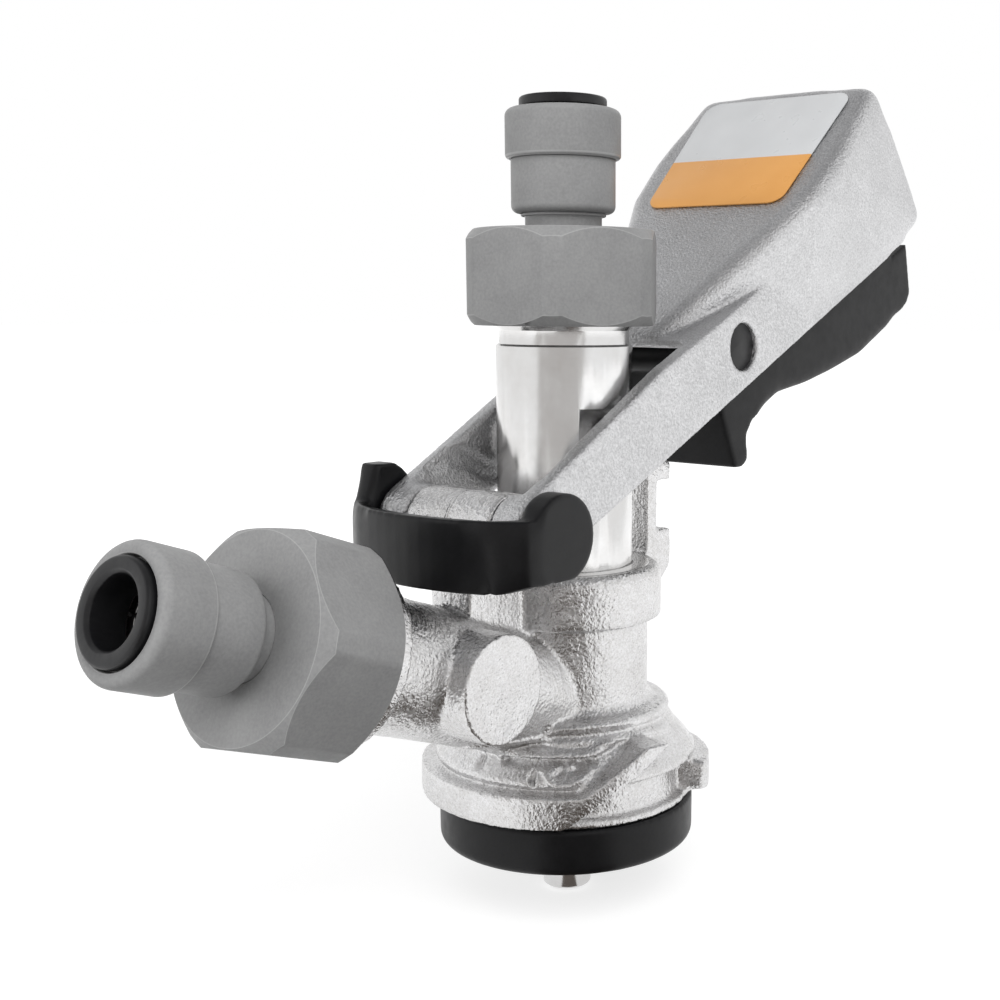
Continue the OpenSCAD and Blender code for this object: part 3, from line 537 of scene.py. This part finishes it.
def collar_ring():
    """Machined face on the casting's collar, with broken edges at the bore and the rim."""
    bore, rim, top, under = 11.56, 14.45, 48.15, 46.4
    edge = 0.3
    outline = [(12.2, under), (14.3, under)]
    outline += corner(rim - edge, top - edge, edge, 0)
    outline += corner(bore + edge, top - edge, edge, 90)
    outline += [(bore, 47.0)]
    settled("coupler_body", lathe(outline), "collar_face", LOOKS["probe_steel"], replaces=False)


def arm_places(points):
    """Each point along the arms and above their middle, in mm."""
    away = points - HINGE
    return away @ ALONG_ARM / MM, away @ ABOVE_ARM / MM


# The lever's kept places, in mm along and above the arms: the two pin holes and the cams on the arms
HINGE_HOLE = (0, 0, 3.9)
TRIGGER_HOLE = (61.2, 1.9, 5.0)
CAM = (25.45, 1, 6)
CAM_SIDE = 11.6
KEPT_WEIGHT = 0.25
# The long hollow in the inner face of each arm
HOLLOW = [(7, 6.4), (11, 5.8), (15, 2.6), (18, -1.2), (21, -2.9), (33, -3.4), (44, -3.2)]
HOLLOW_HALF_WIDTH, HOLLOW_DEPTH, INNER_FACE = 2.4, 0.75, 12


def within(run, rise, spot):
    at, above, radius = spot
    return np.hypot(run - at, rise - above) < radius


def handle():
    form = Cast("handle", grain=0.42 * MM)
    form.even()
    run, rise = arm_places(form.points)
    side = np.abs(form.points[:, 1]) / MM
    kept = within(run, rise, HINGE_HOLE) | within(run, rise, TRIGGER_HOLE)
    kept |= (side < CAM_SIDE) & within(run, rise, CAM)
    weight = np.where(kept, KEPT_WEIGHT, 1.0)
    form.relax(5, weight)

    # The folds where the hood grows out of the arms, its rear lower edge and its rear corners
    root = soft(run, 56, 64) * fading(run, 118, 126) * soft(side, 14.6, 15.6)
    form.relax(14, weight * root * fading(np.abs(rise - 6.5), 4, 7))
    form.relax(20, soft(run, 117, 121) * fading(rise, 2, 5))
    form.relax(60, soft(run, 101, 108) * soft(rise, 20, 25) * soft(side, 8, 12))

    run, rise = arm_places(form.points)
    across = form.points[:, 1] / MM
    inner = fading(np.abs(np.abs(across) - INNER_FACE), 0.3, 0.9) * fading(run, 40, 46)
    near = stroke(run, rise, HOLLOW, HOLLOW_HALF_WIDTH) * inner
    form.points[:, 1] += np.sign(across) * near * HOLLOW_DEPTH * MM
    form.ripple(5 * MM, 0.03 * MM, weight, seed=5.0)
    form.done(LOOKS["handle_metal"])


def trigger():
    form = Cast("trigger", grain=0.4 * MM)
    form.even()
    form.relax(5)
    run, rise = arm_places(form.points)
    form.relax(60, soft(run, 64, 70) * fading(rise, -8, -5) * fading(run, 122, 126))
    form.done(LOOKS["trigger_plastic"])


# The clip's legs, in mm: from this far aside they end this far below the hinge, and grow a share
# deeper towards the bow in front
LEG_SIDE, LEG_DROP, LEG_FRONT, LEG_GROWTH = 14.0, 6.4, 4, 0.1875


def clip():
    form = Cast("hinge_clip", grain=0.26 * MM)
    form.even()
    side = np.abs(form.points[:, 1]) / MM
    height = form.points[:, 2]
    height = np.where(side > LEG_SIDE, np.maximum(height, HINGE[2] - LEG_DROP * MM), height)
    below = np.minimum(height - HINGE[2], 0)
    leg = soft(side, 14.0, 14.4) * (form.points[:, 0] < HINGE[0] - LEG_FRONT * MM)
    form.points[:, 2] = height + below * LEG_GROWTH * leg * fading(side, 14.3, 19.4)

    # The bow is smoothed in plan alone, so it keeps its height, and its lower edge after that
    front = fading(form.points[:, 0] / MM, -30, -27)
    form.relax(5)
    kept = form.points[:, 2].copy()
    form.relax(170, front * soft(side, 9.5, 12) * 0.95)
    form.points[:, 2] = kept
    form.relax(2)
    form.relax(8, front * soft(side, 12.5, 13.5) * fading(side, 16.5, 18))
    form.done(LOOKS["clip_plastic"])


def seal():
    form = Cast("keg_seal", grain=0.3 * MM)
    form.even()
    form.relax(3)
    form.ripple(4 * MM, 0.02 * MM)
    form.done(LOOKS["seal_rubber"])


MADE_BY_HAND = ("coupler_body", "handle", "trigger", "hinge_clip", "keg_seal")
for make in (cast_body, collar_ring, handle, trigger, clip, seal):
    make()
for node, slot in SLOTS.items():
    if node in MADE_BY_HAND:
        continue
    # Nuts and grey fittings get the painted edge highlight on their rounded edges
    if node in ("gas_nut", "beer_nut"):
        dressed(node, LOOKS[slot], 0.35 * MM, edge=LOOKS["edge"])
    elif slot == "fitting_plastic":
        dressed(node, LOOKS[slot], 0.2 * MM, edge=LOOKS["edge"])
    else:
        dressed(node, LOOKS[slot], 0.12 * MM, segments=2)


# Studio, in mm
FLOOR_Z = -10.2
FLOOR_HALF = 6000
CARD_FOOT = -9
OVER_Z = 640


def seen_rays(tree):
    """1 for camera and glossy rays."""
    path = tree.nodes.new("ShaderNodeLightPath")
    return path, worked(tree, "MAXIMUM", path.outputs["Is Camera Ray"], path.outputs["Is Glossy Ray"])


def sheet(name, corners):
    mesh = bpy.data.meshes.new(name)
    mesh.from_pydata([tuple(Vector(c) * MM) for c in corners], [], [(0, 1, 2, 3)])
    thing = bpy.data.objects.new(name, mesh)
    bpy.context.scene.collection.objects.link(thing)
    return thing


def floor():
    """A pale floor that the camera and reflections see fade to white away from the object."""
    half = FLOOR_HALF
    thing = sheet("floor", [(-half, -half, 0), (half, -half, 0), (half, half, 0), (-half, half, 0)])
    thing.location.z = FLOOR_Z * MM
    material, tree, shader = new_material("floor_white")
    shader.inputs["Base Color"].default_value = (0.42, 0.42, 0.42, 1)
    shader.inputs["Roughness"].default_value = 0.9
    shader.inputs["Specular IOR Level"].default_value = 0.0
    length = tree.nodes.new("ShaderNodeVectorMath")
    length.operation = "LENGTH"
    tree.links.new(place(tree), length.inputs[0])
    strength = spread(tree, length.outputs["Value"], 90 * MM, 400 * MM, 0.74, 1.0)
    glow = tree.nodes.new("ShaderNodeEmission")
    tree.links.new(worked(tree, "MULTIPLY", seen_rays(tree)[1], strength), glow.inputs["Strength"])
    total = tree.nodes.new("ShaderNodeAddShader")
    tree.links.new(shader.outputs[0], total.inputs[0])
    tree.links.new(glow.outputs[0], total.inputs[1])
    tree.links.new(total.outputs[0], tree.nodes["Material Output"].inputs["Surface"])
    thing.data.materials.append(material)


def card(name, corners, colour):
    """A glowing sheet that only reflections see."""
    thing = sheet(name, corners)
    material, tree, _ = new_material(name)
    glow = tree.nodes.new("ShaderNodeEmission")
    glow.inputs["Color"].default_value = (*colour, 1)
    tree.links.new(glow.outputs[0], tree.nodes["Material Output"].inputs["Surface"])
    thing.data.materials.append(material)
    thing.visible_camera = False
    thing.visible_diffuse = False
    thing.visible_shadow = False


def spot(distance, degrees, height):
    turn = math.radians(degrees)
    return distance * math.cos(turn), distance * math.sin(turn), height


def upright(low, high, distance, top):
    """Corners of an upright sheet between two angles round the axis."""
    foot = CARD_FOOT
    return [spot(distance, *end) for end in ((low, foot), (high, foot), (high, top), (low, top))]


def sector(low, high, inner, outer, height):
    """Corners of a level sheet between two angles and two distances."""
    return [spot(r, a, height) for r, a in ((inner, low), (outer, low), (outer, high), (inner, high))]


def overhead(y_low, y_high, far_z):
    """Corners of a sheet above the object, whose far side may lie lower."""
    left, right = -520, 460
    return [(left, y_low, OVER_Z), (right, y_low, OVER_Z), (right, y_high, far_z), (left, y_high, far_z)]


def sky():
    world = bpy.data.worlds.new("studio")
    bpy.context.scene.world = world
    world.use_nodes = True
    tree = world.node_tree
    background = tree.nodes["Background"]
    background.inputs["Color"].default_value = (1, 1, 1, 1)
    path, seen = seen_rays(tree)
    also = worked(tree, "MAXIMUM", seen, path.outputs["Is Transmission Ray"])
    tree.links.new(spread(tree, also, 0, 1, 0.5, 1.0), background.inputs["Strength"])


def lamp(name, at, size, power, aim=(0, 0, 50)):
    light = bpy.data.lights.new(name, "AREA")
    light.shape = "RECTANGLE"
    light.size = light.size_y = size * MM
    light.energy = power
    thing = bpy.data.objects.new(name, light)
    thing.location = Vector(at) * MM
    thing.rotation_euler = (Vector(aim) * MM - thing.location).to_track_quat("-Z", "Y").to_euler()
    thing.visible_glossy = False
    bpy.context.scene.collection.objects.link(thing)


def camera():
    """The photograph's camera: angles in degrees, place in mm, focal length in picture widths."""
    yaw, pitch, roll = (math.radians(v) for v in (53.874, -9.616, 0.3906))
    at = Vector((-179.98, -152.66, 90.98)) * MM
    focal = 1.398
    ahead = Vector((math.sin(yaw) * math.cos(pitch), math.cos(yaw) * math.cos(pitch), math.sin(pitch)))
    level = Vector((math.cos(yaw), -math.sin(yaw), 0))
    raised = level.cross(ahead)
    right = level * math.cos(roll) + raised * math.sin(roll)
    up = raised * math.cos(roll) - level * math.sin(roll)
    lens = bpy.data.cameras.new("camera")
    lens.sensor_width = 36
    lens.lens = focal * lens.sensor_width
    lens.shift_x = -0.166
    lens.shift_y = 0.0443
    lens.clip_start = 5 * MM
    eye = bpy.data.objects.new("camera", lens)
    eye.matrix_world = Matrix.Translation(at) @ Matrix((right, up, -ahead)).transposed().to_4x4()
    bpy.context.scene.collection.objects.link(eye)
    bpy.context.scene.camera = eye


floor()
sky()
card("front_card", upright(176, 250, distance=700, top=760), (0.6, 0.585, 0.575))
card("warm_card", upright(197, 206, distance=640, top=560), (0.2, 0.17, 0.15))
card("slim_card", upright(231, 237, distance=640, top=560), (0.3, 0.28, 0.27))
card("near_card", sector(203, 252, inner=5, outer=640, height=-9.9), (0.12, 0.105, 0.095))
card("over_card", overhead(-460, 130, far_z=OVER_Z), (0.36, 0.36, 0.365))
card("roof_card", overhead(131, 640, far_z=560), (0.5, 0.5, 0.505))
lamp("key", at=(-300, -420, 520), size=420, power=2.6)
lamp("fill", at=(-620, 120, 260), size=360, power=1.0)
camera()
bpy.context.scene.view_settings.view_transform = "Standard"
